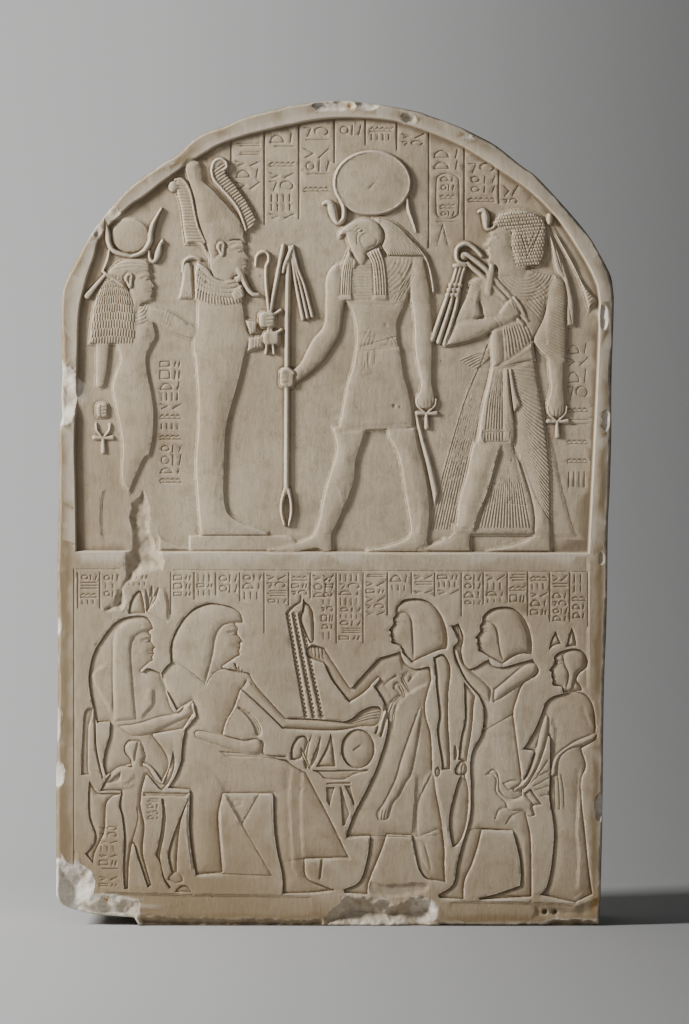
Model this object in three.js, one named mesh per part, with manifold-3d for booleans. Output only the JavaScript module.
// A round-topped stele of limestone, carved on one side in two scenes.
//
// Above, four gods and a king stand in raised relief on a field sunk inside a plain rim. Below,
// a seated couple, a child, two offering men and a woman are cut into the flat of the stone.
//
// The stele is one solid. X runs to the right along the face, Z runs up from the underside, and
// the carved face looks along -Y. Outlines are drawn in X and Z; the third number of a point is 1
// where the outline turns a sharp corner, and points without it lie on a smooth curve.

import * as THREE from 'three';
import { mergeVertices } from 'three/addons/utils/BufferGeometryUtils.js';
import Module from 'manifold-3d';

// ---------------------------------------------------------------- driving dimensions, mm

const THICKNESS = 120;
const ARRIS = 4.5; // worn edge all round the front and the back
const FIELD_DEPTH = 4; // upper field below the rim

const FRONT = THICKNESS / 2;
const FIELD = FRONT - FIELD_DEPTH;
const CLEAR = FRONT + 5; // in front of everything, where cuts begin
const ROOT = 3; // how far a raised part reaches into the stone behind it

// Height of raised parts above the upper field.
const LOW = FIELD + 1.4;
const MID = FIELD + 2.1;
const HIGH = FIELD + 2.8;
const TOP = FIELD + 3.5;

// Depth of the sunk figures below the flat of the lower scene.
const POCKET = FRONT - 2.8;
const BODY = FRONT - 1.5;
const SKIN = FRONT - 0.8;

const STEP = 18.5; // length of a straight piece on a smooth outline

// ---------------------------------------------------------------- outlines

const wasm = await Module();
wasm.setup();

function spline(points, step, isClosed) {
  const places = points.map(([x, z]) => new THREE.Vector3(x, z, 0));
  const line = new THREE.CatmullRomCurve3(places, isClosed, 'catmullrom', 0.5);
  const pieces = Math.max(1, Math.round(line.getLength() / step));
  return line.getSpacedPoints(pieces).map((p) => [p.x, p.y]);
}

// One closed outline, split at its sharp corners into smooth runs.
function outline(points, step = STEP) {
  const corners = points.flatMap((point, index) => (point[2] ? [index] : []));
  if (corners.length === 0) {
    return spline(points, step, true).slice(0, -1);
  }
  const result = [];
  corners.forEach((from, order) => {
    const to = corners[(order + 1) % corners.length];
    const count = ((to - from + points.length - 1) % points.length) + 1;
    const run = Array.from({ length: count + 1 }, (_, i) => points[(from + i) % points.length]);
    const places = run.length > 2 ? spline(run, step, false) : run;
    result.push(...places.slice(0, -1));
  });
  return result;
}

// A stroke along a smooth spine; the third number of each point is its width there.
function band(spine, step = STEP) {
  const places = spine.map(([x, z, w]) => new THREE.Vector3(x, z, w));
  const line = new THREE.CatmullRomCurve3(places, false, 'catmullrom', 0.5);
  const pieces = spine.length > 2 ? Math.max(2, Math.round(line.getLength() / step)) : 1;
  const left = [];
  const right = [];
  for (let i = 0; i <= pieces; i += 1) {
    const p = line.getPoint(i / pieces);
    const way = line.getTangent(i / pieces);
    const flat = Math.hypot(way.x, way.y);
    const nx = (-way.y / flat) * p.z * 0.5;
    const nz = (way.x / flat) * p.z * 0.5;
    left.push([p.x + nx, p.y + nz]);
    right.unshift([p.x - nx, p.y - nz]);
  }
  return [...left, ...right];
}

function line(points, width) {
  return band(points.map(([x, z]) => [x, z, width]));
}

function oval(x, z, across, up, sides = 14) {
  return Array.from({ length: sides }, (_, i) => {
    const turn = (i / sides) * 2 * Math.PI;
    return [x + across * Math.cos(turn), z + up * Math.sin(turn)];
  });
}

function box(x0, z0, x1, z1) {
  return [[x0, z0], [x1, z0], [x1, z1], [x0, z1]];
}

// The profile of a calm, even face from hairline to chin. facing is 1 to the right, -1 to the left.
function face(x, chin, height, facing) {
  const turns = [
    [0, 1], [0.09, 0.84], [0.07, 0.73], [0.3, 0.5], [0.17, 0.43],
    [0.22, 0.33], [0.14, 0.18], [0.16, 0.07], [0.02, 0],
  ];
  return turns.map(([out, up]) => [x + out * height * facing, chin + up * height, 1]);
}

// A ray of equal strokes: each one runs from a point on the first line to its match on the second.
function rays(count, from, to, width) {
  const between = ([a, b], t) => [a[0] + (b[0] - a[0]) * t, a[1] + (b[1] - a[1]) * t];
  return Array.from({ length: count }, (_, i) => {
    const t = count > 1 ? i / (count - 1) : 0.5;
    return line([between(from, t), between(to, t)], width);
  });
}

// ---------------------------------------------------------------- solids

// The solid between two planes parallel to the face, with the given outline.
function prism(places, from, to) {
  const shape = new THREE.Shape(places.map(([x, z]) => new THREE.Vector2(x, z)));
  return solid(new THREE.ExtrudeGeometry(shape, { depth: to - from, bevelEnabled: false }), from);
}

function solid(geometry, from) {
  geometry.translate(0, 0, from);
  geometry.rotateX(Math.PI / 2);
  geometry.deleteAttribute('normal');
  geometry.deleteAttribute('uv');
  const merged = mergeVertices(geometry, 1e-4);
  return new wasm.Manifold(new wasm.Mesh({
    numProp: 3,
    vertProperties: new Float32Array(merged.attributes.position.array),
    triVerts: new Uint32Array(merged.index.array),
  }));
}

function together(outlines, from, to) {
  const bodies = outlines.map((places) => prism(places, from, to));
  return bodies.reduce((sum, body) => sum.add(body));
}

// ---------------------------------------------------------------- the slab

const slabOutline = outline([
  [-278, 32, 1], [-278, 100], [-276.5, 200], [-276.5, 350], [-275, 500, 1],
  [-272, 504, 1], [-273, 560], [-272.5, 620, 1],
  [-264, 655], [-237, 700], [-202, 740], [-158, 770], [-108, 800], [-45, 820], [5, 826],
  [50, 821], [97, 810], [145, 790], [188, 760], [221, 730], [255, 690], [272, 660],
  [280, 630, 1], [277.5, 520], [273.5, 340], [269, 150], [267, 60], [265, 0, 1],
  [-195, 0, 1], [-199, 8, 1], [-240, 11, 1], [-262, 17, 1],
], 26);

function makeSlab() {
  const shape = new THREE.Shape(slabOutline.map(([x, z]) => new THREE.Vector2(x, z)));
  const geometry = new THREE.ExtrudeGeometry(shape, {
    depth: THICKNESS - 2 * ARRIS,
    bevelThickness: ARRIS,
    bevelSize: ARRIS,
    bevelOffset: -ARRIS,
    bevelSegments: 1,
  });
  return solid(geometry, ARRIS - THICKNESS / 2);
}

const field = outline([
  [-257.5, 375, 1], [-259, 440], [-259.5, 500], [-257, 570], [-254.5, 620], [-244, 660],
  [-233, 690], [-205, 720], [-175, 742], [-130, 773], [-85, 792], [-36, 803], [0, 808],
  [60, 805], [110, 789], [165, 757], [215, 718], [250, 668], [264, 637], [265, 590],
  [260, 480], [256, 400], [254.5, 373, 1],
], 24);

// ---------------------------------------------------------------- upper scene, left to right

const goddess = [
  [MID, outline([
    [-222, 604], [-200, 614], [-183, 606], [-178, 593], [-185, 577], [-188, 567], [-181, 530],
    [-179, 505], [-184, 468, 1], [-190, 466], [-205, 432, 1], [-213, 446], [-212, 480],
    [-219, 520], [-222, 540], [-214, 566], [-219, 586],
  ])],
  [MID, band([[-231, 584, 13], [-232, 560, 13], [-234, 538, 10]])],
  [MID, band([[-234, 524, 9], [-231, 512, 13], [-230, 500, 8]], 6)],
  [MID, band([[-186, 611, 17], [-165, 607, 15], [-141, 594, 11]])],
  [HIGH, outline([
    [-215, 665], [-204, 669], [-190, 667], [-183, 659, 1], [-198, 651], [-203, 638],
    [-199, 612], [-198.5, 582, 1], [-246, 582, 1], [-243, 615], [-236, 640], [-225, 655],
  ])],
  [MID, outline([[-203, 652, 1], ...face(-189, 625, 31, 1), [-196, 618, 1], [-200, 606, 1]])],
  [MID, band([[-227, 654, 5], [-237, 644, 5], [-248, 630, 4]])],
  [HIGH, oval(-204, 691, 19.5, 17)],
  [TOP, band([[-204, 671, 5], [-221, 678, 5], [-227, 691, 4], [-229, 704, 2]], 9)],
  [TOP, band([[-203, 671, 5], [-189, 677, 5], [-184, 694, 4], [-173, 718, 2]], 9)],
  [HIGH, band([[-186, 667, 4], [-178, 664, 5], [-175, 672, 5], [-172, 683, 3]], 6)],
  [LOW, outline([[-176, 376, 1], [-176, 390, 1], [-160, 383], [-140, 376, 1]])],
];

const goddessLines = rays(7, [[-236, 640], [-245, 590]], [[-202, 640], [-199, 590]], 1.8);

const osiris = [
  [LOW, outline([[-145, 390, 1], [-43, 390, 1], [-37, 383, 1], [-37, 376, 1], [-145, 376, 1]])],
  [MID, band([[-134, 667, 4], [-149, 664, 4], [-151, 650, 4], [-149, 628, 9]], 12)],
  [HIGH, outline([
    [-137, 625, 1], [-138, 600], [-141.5, 584], [-137, 530], [-138, 460], [-134, 390, 1],
    [-64, 390, 1], [-70, 396], [-100, 408], [-109, 435], [-108, 490], [-95, 542],
    [-85, 584], [-81, 590], [-88, 606], [-91, 625, 1],
  ])],
  [TOP, outline([
    [-134, 665, 1], [-139, 655], [-139, 627, 1], [-112, 620], [-88, 624, 1], [-92, 640],
    [-98, 651, 1], [-116, 649, 1],
  ])],
  [HIGH, outline([[-120, 684, 1], ...face(-92, 652, 32, 1), [-104, 648, 1], [-124, 654, 1]])],
  [TOP, outline([
    [-150, 757, 1], [-147, 767], [-141, 769], [-135, 765], [-131, 754, 1], [-118, 736],
    [-102, 717], [-92, 702], [-88, 684, 1], [-104, 684], [-120, 666, 1], [-134, 690],
    [-142, 725],
  ])],
  [HIGH, outline([
    [-160, 748, 1], [-156, 734], [-152, 705], [-149, 683, 1], [-131, 684, 1], [-139, 710],
    [-143, 738, 1],
  ])],
  [HIGH, outline([
    [-124, 762, 1], [-122, 746], [-105, 725], [-89, 695, 1], [-77, 704, 1], [-93, 730],
    [-107, 755], [-106, 764], [-114, 769],
  ])],
  [TOP, band([[-98, 654, 5], [-90, 638, 5], [-75, 631, 3]], 8)],
  [TOP, box(-76, 599, -57, 614)],
  [TOP, box(-71, 579, -55, 595)],
  [TOP, outline([[-92, 606, 1], [-76, 605, 1], [-76, 592, 1], [-86, 590, 1]])],
  [HIGH, band([[-78, 660, 3], [-76, 671, 3], [-70, 675, 3], [-65, 670, 3], [-67, 655, 3],
    [-65, 614, 3]], 8)],
  [HIGH, band([[-63, 616, 3], [-58, 645, 3], [-52, 681, 3], [-43, 682, 3]], 14)],
  [HIGH, outline([[-44, 683, 1], [-36, 652], [-30, 606, 1], [-20, 609, 1], [-28, 645]])],
];

const osirisLines = [
  ...rays(8, [[-155, 740], [-150, 686]], [[-144, 736], [-133, 686]], 1.5),
  ...rays(8, [[-120, 758], [-92, 706]], [[-108, 763], [-79, 704]], 1.5),
  line([[-136, 648], [-118, 641], [-96, 643]], 1.5),
  line([[-137, 637], [-116, 631], [-93, 633]], 1.5),
];

const staff = [
  [HIGH, band([[-47, 668, 4.5], [-47, 434, 4.5]])],
  [HIGH, band([[-53, 655, 3], [-47, 666, 4], [-42, 681, 4]], 12)],
  [HIGH, band([[-48, 436, 4], [-52, 418, 2.5], [-49, 401, 2]], 12)],
  [HIGH, band([[-46, 436, 4], [-42.5, 418, 2.5], [-45, 401, 2]], 12)],
];

const sunGod = [
  [HIGH, oval(39, 743, 39, 33.3, 28)],
  [TOP, band([[-10, 723, 5], [-4, 722, 6], [-1, 707, 5], [7, 705, 5], [7, 722, 4]], 7)],
  [MID, band([[73, 725, 4], [77, 710, 4], [81, 694, 2]], 12)],
  [MID, outline([
    [12, 640, 1], [12, 624], [21, 605], [22, 578, 1], [66, 578, 1], [64, 600], [72, 625],
    [76, 648], [60, 668, 1], [20, 668, 1],
  ])],
  [MID, outline([
    [0, 659], [-8, 640], [-9, 602], [-27, 575], [-40, 555, 1], [-40, 540, 1], [-14, 562],
    [4, 588], [9, 620], [12, 650],
  ])],
  [HIGH, outline([[-40, 556, 1], [-50, 558], [-59, 554], [-58, 547], [-54, 538], [-40, 538, 1]])],
  [MID, outline([
    [76, 650, 1], [77, 620], [80, 590], [86, 545], [82, 528], [90, 518, 1], [101, 524, 1],
    [100, 545], [97, 580], [96, 630], [92, 650, 1],
  ])],
  [MID, outline([
    [21, 580, 1], [13, 543], [5, 504], [2, 494, 1], [80, 498, 1], [77, 530], [67, 581, 1],
  ])],
  [LOW, outline([
    [0, 495, 1], [1, 472], [-9, 436], [-19, 396], [-30, 387], [-66, 376, 1], [-1, 376, 1],
    [-1, 388], [10, 416], [22, 458], [33, 495, 1],
  ])],
  [MID, outline([
    [53, 495, 1], [62, 474], [70, 438], [75, 396], [64, 384], [32, 376, 1], [95.5, 376, 1],
    [96, 420], [90, 462], [81, 497, 1],
  ])],
  [MID, band([[82, 512, 3], [90, 485, 5], [104, 425, 6], [112, 388, 6]], 30)],
  [HIGH, outline([
    [43, 708, 1], [60, 706], [80, 688], [95, 667], [101, 650], [103, 633, 1], [97, 631, 1],
    [92, 655], [86, 668, 1], [54, 668, 1], [54, 625, 1], [39, 625, 1], [38, 655], [31, 672],
    [18, 672], [19, 650], [19, 625, 1], [5, 625, 1], [7, 652], [16, 676, 1],
  ])],
  [TOP, outline([
    [14, 702, 1], [26, 706], [40, 705], [50, 694], [46, 680], [34, 673], [22, 670], [14, 684],
    [10, 691, 1], [4.5, 688, 1], [7, 697],
  ])],
];

const sunGodLines = [
  ...rays(6, [[52, 702], [50, 674]], [[78, 686], [58, 670]], 1.5),
  ...rays(5, [[57, 665], [57, 632]], [[80, 664], [64, 632]], 1.5),
  line([[13, 622], [40, 619], [72, 624]], 1.5),
  line([[23, 574], [44, 575], [65, 580]], 1.8),
  line([[27, 586], [44, 588], [64, 592]], 1.5),
];

const king = [
  [LOW, outline([
    [157, 592, 1], [138, 545], [118, 490], [105, 438], [96, 392], [95, 382, 1], [120, 391, 1],
    [241, 390, 1], [230, 428], [213, 488], [204, 550], [198, 583, 1],
  ])],
  [LOW, outline([[120, 392, 1], [104, 384], [84, 376, 1], [137, 376, 1], [139, 392, 1]])],
  [LOW, outline([[203, 392, 1], [188, 385], [154, 376, 1], [217, 376, 1], [217, 392, 1]])],
  [MID, outline([
    [158, 560, 1], [143, 492], [138, 470], [126, 420], [120, 392, 1], [217, 392, 1],
    [218, 440], [212, 500], [204, 548], [198, 583, 1],
  ])],
  [HIGH, outline([
    [158, 558, 1], [150, 520], [142, 482, 1], [180, 482, 1], [183, 510], [176, 558, 1],
  ])],
  [MID, outline([
    [134, 644, 1], [160, 655], [190, 657], [215, 652], [232, 640, 1], [213, 620, 1], [207, 600],
    [198, 583, 1], [158, 560, 1], [157, 592], [148, 612, 1], [147, 630],
  ])],
  [HIGH, outline([
    [148, 646], [136, 644], [126, 622], [118, 600], [111, 580, 1], [135, 600], [150, 609, 1],
    [147, 628],
  ])],
  [TOP, outline([
    [111, 580, 1], [135, 583], [160, 595], [188, 611, 1], [183, 623], [176, 627], [165, 612],
    [145, 607], [124, 594],
  ])],
  [HIGH, outline([
    [214, 622, 1], [214, 590], [213, 560], [217, 532], [212, 508, 1], [231, 508, 1], [230, 540],
    [232, 580], [233, 630, 1],
  ])],
  [HIGH, outline([
    [222, 650], [233, 640], [232, 600], [232, 568, 1], [201, 581, 1], [206, 600], [214, 625],
  ])],
  [TOP, outline([
    [157, 700, 1], [170, 715], [186, 718], [204, 712], [213, 700], [211, 676], [204, 661],
    [197, 659, 1], [183, 659, 1], [178, 672], [176, 692], [168, 699],
  ])],
  [HIGH, outline([[178, 698, 1], ...face(161, 664, 35, -1), [164, 655, 1], [184, 653, 1]])],
  [HIGH, band([[158, 697, 4], [151, 697, 5], [150, 708, 6], [154, 716, 4]], 7)],
  [HIGH, oval(217, 706, 3.5, 6, 8)],
  [LOW, outline([
    [213, 703, 1], [223, 680], [234, 650], [240, 622], [241, 600, 1], [232, 600, 1], [233, 628],
    [222, 655], [215, 680],
  ])],
  [LOW, outline([
    [217, 703, 1], [240, 664], [262, 628, 1], [252, 616, 1], [243, 634], [226, 676],
  ])],
  [HIGH, band([[148, 670, 4], [139, 681, 4], [128, 683, 4], [121, 674, 4], [126, 663, 4],
    [135, 663, 5], [177, 627, 8]], 9)],
  [HIGH, outline([[122, 661, 1], [133, 660, 1], [126, 620], [112, 580, 1], [98, 587, 1]])],
];

const kingLines = [
  ...rays(7, [[154, 590], [170, 480]], [[101, 398], [131, 400]], 1.6),
  ...rays(7, [[145, 478], [190, 478]], [[142, 398], [197, 398]], 1.6),
  ...rays(8, [[178, 552], [192, 420]], [[203, 540], [216, 398]], 1.6),
  ...rays(5, [[157, 553], [171, 553]], [[148, 500], [168, 500]], 1.6),
  line([[144, 492], [178, 492]], 1.8),
  ...rays(3, [[160, 648], [180, 638]], [[172, 642], [214, 646]], 1.5),
  ...rays(4, [[215, 600], [216, 578]], [[231, 597], [231, 575]], 1.5),
  line([[163, 566], [198, 581]], 1.8),
];

// ---------------------------------------------------------------- lower scene, left to right

const sunk = [
  // the seated woman with the cone on her wig, her arm behind her husband
  outline([[-207, 311, 1], [-205, 328], [-195, 336], [-190, 326], [-187, 311, 1]]),
  outline([
    [-179, 297], [-187, 310], [-206, 310], [-225, 300], [-241, 275], [-246.5, 250],
    [-243, 222], [-238, 202, 1], [-219, 201], [-205, 189], [-180, 192], [-139, 210, 1],
    [-141, 224, 1], [-160, 216], [-172, 252, 1], [-188, 257, 1], [-193, 262, 1],
    [-184, 272, 1], [-177, 280, 1], [-182, 294, 1],
  ]),
  outline([
    [-224, 202, 1], [-231, 170], [-229, 148, 1], [-212, 158], [-190, 163], [-172, 143, 1],
    [-163, 160], [-168, 176], [-180, 191, 1], [-205, 188, 1],
  ]),
  // her chair: back and hind leg, seat rail, front leg
  box(-252, 150, -243, 218),
  outline([[-245, 148, 1], [-246, 108], [-241, 86], [-250, 72, 1], [-238, 62, 1], [-233, 82],
    [-227, 108], [-226, 128, 1], [-214, 132, 1], [-234, 134, 1]]),
  outline([[-192, 134, 1], [-143, 134, 1], [-147, 128, 1], [-192, 129, 1]]),
  outline([[-173, 131, 1], [-172, 105], [-179, 70], [-172, 46], [-163, 35, 1], [-156, 52, 1],
    [-166, 66], [-165, 82], [-146, 131, 1]]),
  // the child between the chairs
  outline([[-205, 187], [-212, 176], [-205, 161, 1], [-222, 154], [-235, 133, 1], [-213, 134, 1],
    [-217, 118], [-212, 85], [-212, 36, 1], [-180, 36, 1], [-188, 66], [-188, 105],
    [-191, 128], [-182, 156, 1], [-188, 163, 1], [-183, 171], [-190, 185]]),
  // her husband: wig and face, trunk, lap, long skirt and shins
  outline([[-90, 302, 1], [-90, 310], [-100, 319], [-125, 324], [-147, 313], [-161, 292],
    [-164, 264, 1], [-173, 254, 1], [-160, 215, 1], [-148, 202, 1], [-154, 166, 1],
    [-170, 137, 1], [-145, 134, 1], [-146, 90], [-139, 49, 1], [-110, 52, 1], [-114, 90],
    [-110, 132, 1], [-62, 131, 1], [-60, 88], [-52, 48], [-52, 31, 1], [6, 35, 1], [-26, 48, 1],
    [-28, 66, 1], [17, 67, 1], [-28, 155, 1], [-46, 166, 1], [-70, 172], [-72, 186],
    [-110, 192, 1], [-102, 214], [-92, 236, 1], [-52, 196, 1], [0, 194], [36, 195],
    [48, 212], [40, 221], [10, 205], [-48, 209, 1], [-84, 254, 1], [-108, 262, 1],
    [-96, 270, 1], [-92, 283, 1], [-95, 297, 1]]),
  outline([[-112, 131, 1], [-72, 131, 1], [-91, 100, 1]]),
  outline([[-90, 97, 1], [-63, 48, 1], [-108, 52, 1], [-112, 95, 1]]),
  // the table: stand, board, cone loaf and round loaf
  outline([[-8, 141, 1], [3, 140, 1], [-4, 118, 1], [-8, 127, 1]]),
  outline([[5, 140, 1], [17, 113, 1], [9, 100, 1], [7, 100, 1]]),
  outline([[-27, 157, 1], [36, 157, 1], [33, 153], [18, 147], [-8, 147], [-24, 153]]),
  outline([[-20, 157, 1], [-9, 176], [-4, 194], [3, 176], [5, 157, 1]]),
  outline([[20, 157, 1], [8, 172], [7, 190], [24, 198], [40, 190], [42, 170], [33, 158, 1]]),
  outline([[-44, 164, 1], [-42, 182], [-30, 191], [-24, 183], [-24, 158, 1]]),
  // the pouring man: vessel, raised arm, wig and face, gown
  outline([[-32, 332, 1], [-31, 318], [-34, 304], [-25, 282, 1], [-19, 282, 1], [-19, 305],
    [-24, 321]]),
  outline([[-29, 270, 1], [-22, 282], [-8, 279, 1], [17, 239, 1], [38, 263], [66, 276, 1],
    [64, 262], [45, 247, 1], [15, 222, 1], [-10, 262, 1]]),
  outline([[59, 311], [70, 327], [90, 327], [109, 310], [115, 285], [114, 275, 1], [98, 271],
    [78, 262, 1], [66, 277, 1], [57, 283, 1], [53, 295, 1]]),
  outline([[64, 274, 1], [78, 261, 1], [98, 271], [112, 270], [118, 258], [116, 200],
    [118, 156, 1], [102, 150, 1], [112, 78], [113, 40, 1], [102, 44], [97, 62], [82, 88, 1],
    [92, 45, 1], [84, 55], [77, 89, 1], [54, 89, 1], [38, 52], [36, 31, 1], [8, 36, 1],
    [26, 48], [35, 88, 1], [11, 88, 1], [20, 115], [40, 155], [60, 195, 1], [46, 172, 1],
    [53, 200], [49, 222, 1], [38, 240, 1], [46, 247, 1]]),
  // the second man: raised hand, wig and face, gown and feet
  outline([[117, 301, 1], [126, 301, 1], [131, 286], [128, 268], [136, 258], [157, 237, 1],
    [188, 260, 1], [205, 262], [203, 250], [190, 240, 1], [157, 221, 1], [143, 230],
    [123, 258], [118, 275], [124, 286]]),
  outline([[146, 310], [154, 317], [170, 320], [188, 313], [198, 290], [199, 268, 1],
    [180, 266], [169, 260, 1], [156, 267, 1], [146, 273, 1], [140, 288, 1]]),
  outline([[143, 230, 1], [157, 221, 1], [190, 242, 1], [182, 214], [187, 170], [189, 150],
    [190, 130, 1], [197, 100], [199, 30, 1], [144, 26, 1], [186, 41, 1], [186, 60], [178, 94, 1],
    [149, 95, 1], [140, 62], [132, 45], [131, 25, 1], [104, 31, 1], [118, 42, 1], [127, 80, 1],
    [135, 108], [136, 155], [147, 193, 1], [149, 212]]),
  outline([[100, 156, 1], [118, 157, 1], [125, 163], [135, 160, 1], [134, 120], [127, 82],
    [118, 76, 1], [114, 95], [119, 130], [124, 148, 1], [104, 148, 1]]),
  // the goose's wings, clear of the gown
  outline([[182, 136, 1], [206, 121, 1], [200, 108, 1], [182, 112, 1]]),
  // the woman who holds it
  outline([[213, 272, 1], [222, 296, 1], [229, 281, 1]]),
  outline([[231, 278, 1], [238, 300, 1], [244, 279, 1]]),
  outline([[226, 275], [240, 278], [253, 271], [253, 256], [246, 246], [243, 232, 1], [228, 233, 1],
    [226, 239, 1], [219, 241, 1], [214, 251, 1], [219, 262, 1]]),
  outline([[228, 233, 1], [250, 232], [260, 220], [261, 190, 1], [248, 177, 1], [252, 160],
    [249, 145], [252, 100], [260, 31, 1], [203, 30, 1], [216, 52], [219, 95], [214, 130],
    [216, 160], [210, 172], [200, 152], [187, 134, 1], [186, 146], [199, 172, 1], [187, 176, 1],
    [202, 200], [210, 222]]),
];

// Parts of the sunk figures that stand forward in their hollows, each within its own outline.
const forward = [
  [SKIN, outline([[-219, 205, 1], [-220, 290], [-212, 304], [-190, 304], [-183, 297, 1],
    [-198, 288], [-200, 250], [-199, 205, 1]])],
  [BODY, outline([[-197, 288, 1], [-185, 291, 1], [-181, 280, 1], [-188, 272, 1], [-196, 258, 1]])],
  [BODY, outline([[-240, 250], [-226, 262, 1], [-224, 216, 1], [-236, 234]])],
  [SKIN, outline([[-214, 199, 1], [-204, 192, 1], [-180, 195], [-143, 213, 1], [-146, 219, 1],
    [-170, 209], [-195, 202, 1]])],
  [BODY, outline([[-209, 132, 1], [-212, 118], [-208, 85], [-207, 40, 1], [-204, 40, 1],
    [-202, 82], [-188, 40, 1], [-192, 70], [-193, 128, 1]])],
  [SKIN, outline([[-97, 303, 1], [-94, 310], [-106, 318], [-128, 320], [-148, 306], [-160, 283],
    [-159, 263, 1], [-128, 245, 1], [-122, 275], [-114, 300, 1]])],
  [BODY, outline([[-112, 298, 1], [-100, 299, 1], [-97, 284, 1], [-104, 271, 1], [-118, 262, 1]])],
  [BODY, outline([[-168, 250, 1], [-158, 257, 1], [-128, 243, 1], [-100, 255, 1], [-88, 250, 1],
    [-98, 230], [-106, 214], [-116, 192, 1], [-134, 203, 1], [-142, 228, 1], [-158, 220, 1]])],
  [SKIN, outline([[-88, 249, 1], [-82, 246, 1], [-50, 206, 1], [8, 202], [34, 198, 1], [0, 198],
    [-52, 200, 1]])],
  [SKIN, outline([[-148, 188, 1], [-112, 187], [-76, 182], [-50, 163, 1], [-58, 136, 1],
    [-106, 136, 1], [-140, 140, 1]])],
  [BODY, outline([[-141, 136, 1], [-117, 134, 1], [-117, 90], [-113, 56, 1], [-136, 54, 1],
    [-142, 90]])],
  [BODY, outline([[-56, 134, 1], [-34, 150, 1], [-34, 75], [-32, 40, 1], [-48, 34, 1],
    [-55, 75]])],
  [SKIN, outline([[78, 270, 1], [77, 306], [72, 316], [80, 324], [95, 321], [107, 304],
    [111, 280, 1]])],
  [BODY, outline([[62, 307, 1], [74, 308, 1], [75, 268, 1], [66, 281, 1], [58, 295, 1]])],
  [SKIN, band([[-14, 272, 8], [2, 250, 9], [16, 230, 9]], 20)],
  [SKIN, band([[18, 230, 9], [40, 251, 11], [60, 265, 14]], 20)],
  [SKIN, outline([[42, 226, 1], [58, 240, 1], [88, 226, 1], [70, 178], [56, 130], [46, 108],
    [24, 112], [44, 150], [62, 190]])],
  [BODY, outline([[90, 224, 1], [96, 200], [98, 150], [108, 100], [106, 50, 1], [88, 90, 1],
    [60, 92, 1], [62, 130], [78, 180]])],
  [SKIN, outline([[106, 262], [113, 254], [112, 200], [113, 162, 1], [106, 162, 1], [106, 200],
    [104, 240]])],
  [SKIN, outline([[168, 268, 1], [163, 300], [156, 308], [168, 316], [184, 310], [194, 290],
    [195, 274, 1], [182, 270]])],
  [BODY, outline([[150, 303, 1], [160, 298], [166, 264, 1], [150, 275, 1], [145, 288, 1]])],
  [SKIN, band([[125, 292, 5], [124, 270, 6], [136, 250, 8], [154, 232, 9]], 20)],
  [SKIN, band([[158, 229, 9], [180, 243, 11], [198, 256, 11]], 30)],
  [BODY, outline([[152, 222, 1], [176, 230, 1], [178, 212], [182, 180], [184, 140], [178, 98, 1],
    [140, 100, 1], [141, 150], [150, 192]])],
  [SKIN, outline([[232, 272], [246, 270], [248, 258], [240, 240], [236, 238], [234, 256]])],
  [BODY, outline([[232, 228, 1], [244, 226], [244, 190], [240, 160], [238, 96], [240, 38, 1],
    [222, 38, 1], [223, 96], [220, 150], [222, 200], [214, 214]])],
  [SKIN, band([[255, 190, 7], [240, 181, 8], [222, 168, 7]], 20)],
  [SKIN, outline([[146, 148, 1], [157, 157], [164, 154], [167, 143], [164, 134], [178, 126],
    [190, 132], [205, 121, 1], [196, 109], [184, 112], [172, 102, 1], [174, 117], [160, 106, 1],
    [166, 121], [158, 136], [158, 151]])],
];

const lowerLines = [
  ...rays(3, [[-46, 312], [-34, 312]], [[-25, 210], [-10, 210]], 4),
  line([[112, 24], [240, 21]], 1.6),
  line([[-190, 32], [-14, 30]], 1.6),
  line([[-256, 357], [-212, 357]], 1.6),
  line([[-160, 356], [252, 354]], 1.6),
];

// ---------------------------------------------------------------- column rules of the texts

// Each rule is its X, its upper end and its lower end.
const upperRules = [
  [-103, 786, 763], [-69.5, 796, 702], [-35, 802, 708], [0.5, 806, 764], [31.5, 806, 782],
  [63, 803, 778], [95, 792, 679], [130.5, 778, 687], [165, 755, 723],
];
const lowerRules = [
  [-256, 318], [-234, 318], [-163, 312], [-139.6, 327], [-118, 331], [-94, 325], [-69.7, 293],
  [-45, 321], [-23.5, 322], [2.5, 285], [29.3, 283], [53.7, 312], [77.6, 333], [101, 328],
  [127.5, 310], [149.5, 324], [173.5, 324], [194, 311], [216, 305], [236, 305],
];
const RULE_WIDTH = 2;

// ---------------------------------------------------------------- damage

// A break is a faceted lump of stone that is missing, deepest at its middle.
function lump(x, z, across, up, depth, y = -FRONT) {
  const geometry = new THREE.IcosahedronGeometry(1, 1);
  geometry.scale(across, depth, up);
  geometry.translate(x, y, z);
  geometry.deleteAttribute('normal');
  geometry.deleteAttribute('uv');
  const merged = mergeVertices(geometry, 1e-4);
  return new wasm.Manifold(new wasm.Mesh({
    numProp: 3,
    vertProperties: new Float32Array(merged.attributes.position.array),
    triVerts: new Uint32Array(merged.index.array),
  }));
}

const breaks = [
  lump(-262, 28, 34, 36, 9), // lower left corner
  lump(-222, 12, 34, 15, 7),
  lump(-264, 532, 14, 34, 5), // left edge beside the goddess
  lump(92, 12, 22, 20, 12), // scoop in the lower edge
  lump(35, 10, 46, 20, 8),
  lump(236, 6, 30, 16, 5), // lower right corner
  lump(20, 828, 34, 16, 7), // top of the arch
  lump(-226, 712, 12, 9, 4),
];

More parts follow.
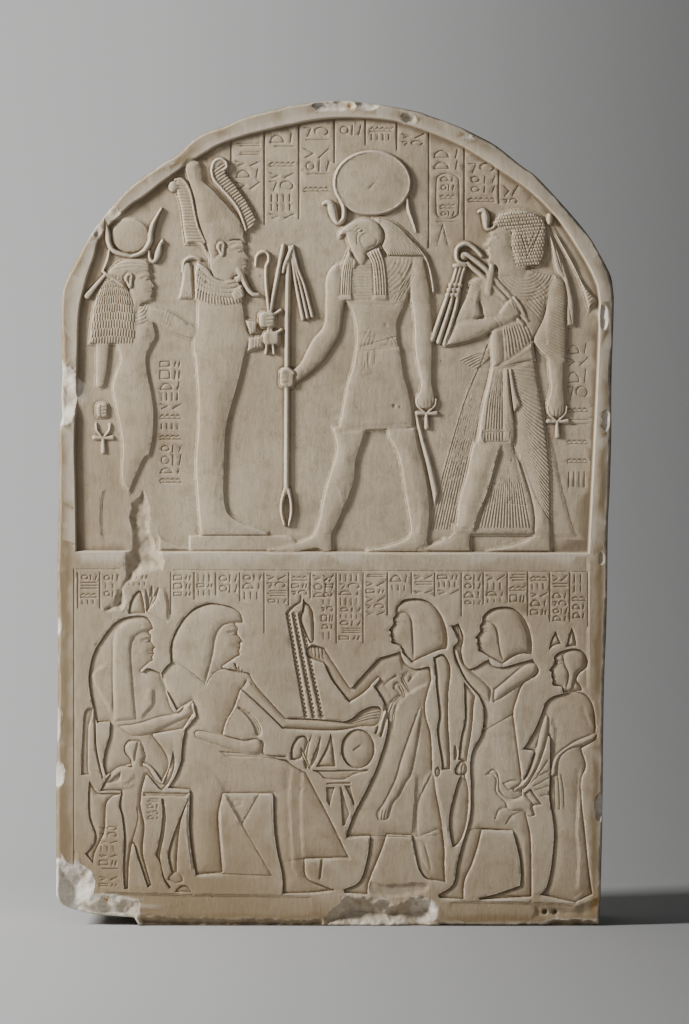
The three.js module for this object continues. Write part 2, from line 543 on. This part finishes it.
// The deep break that runs from the goddess's skirt through the band into the lower text.
const fissure = outline([
  [-213, 448, 1], [-203, 436, 1], [-188, 465, 1], [-177, 410], [-168, 361, 1], [-186, 357, 1],
  [-208, 345], [-206, 322, 1], [-232, 316, 1], [-218, 333], [-211, 358],
], 20);

// ---------------------------------------------------------------- carving

let stone = makeSlab();

stone = stone.subtract(prism(field, FIELD, CLEAR));

for (const [height, places] of [...goddess, ...osiris, ...staff, ...sunGod, ...king]) {
  stone = stone.subtract(prism(places, height, CLEAR));
  stone = stone.add(prism(places, FIELD - ROOT, height));
}

stone = stone.subtract(together(goddessLines, HIGH - 0.8, CLEAR));
stone = stone.subtract(together(osirisLines, HIGH - 0.8, CLEAR));
stone = stone.subtract(together(sunGodLines, MID - 0.8, CLEAR));
stone = stone.subtract(together(kingLines, LOW - 0.4, CLEAR));

stone = stone.subtract(together(sunk, POCKET, CLEAR));
for (const [height, places] of forward) {
  stone = stone.add(prism(places, POCKET - ROOT, height));
}
stone = stone.intersect(makeSlab());

const upperRuleShapes = upperRules.map(([x, high, low]) => line([[x, low], [x, high]], RULE_WIDTH));
const lowerRuleShapes = lowerRules.map(([x, low]) => line([[x, low], [x, 352]], RULE_WIDTH));
stone = stone.subtract(together(upperRuleShapes, FIELD - 0.9, CLEAR));
stone = stone.subtract(together([...lowerRuleShapes, ...lowerLines], FRONT - 1, CLEAR));
stone = stone.subtract(prism(fissure, FRONT - 7, CLEAR));
for (const missing of breaks) {
  stone = stone.subtract(missing);
}

// ---------------------------------------------------------------- the mesh

function meshOf(manifold, name, material) {
  const { vertProperties, triVerts } = manifold.getMesh();
  const geometry = new THREE.BufferGeometry();
  geometry.setAttribute('position', new THREE.BufferAttribute(vertProperties, 3));
  geometry.setIndex(new THREE.BufferAttribute(triVerts, 1));
  geometry.computeVertexNormals();
  const mesh = new THREE.Mesh(geometry, material);
  mesh.name = name;
  return mesh;
}

const limestone = new THREE.MeshStandardMaterial({ color: 0xa39a87, roughness: 0.86, metalness: 0 });

const stele = new THREE.Group();
stele.add(meshOf(stone, 'stele', limestone));

export default stele;
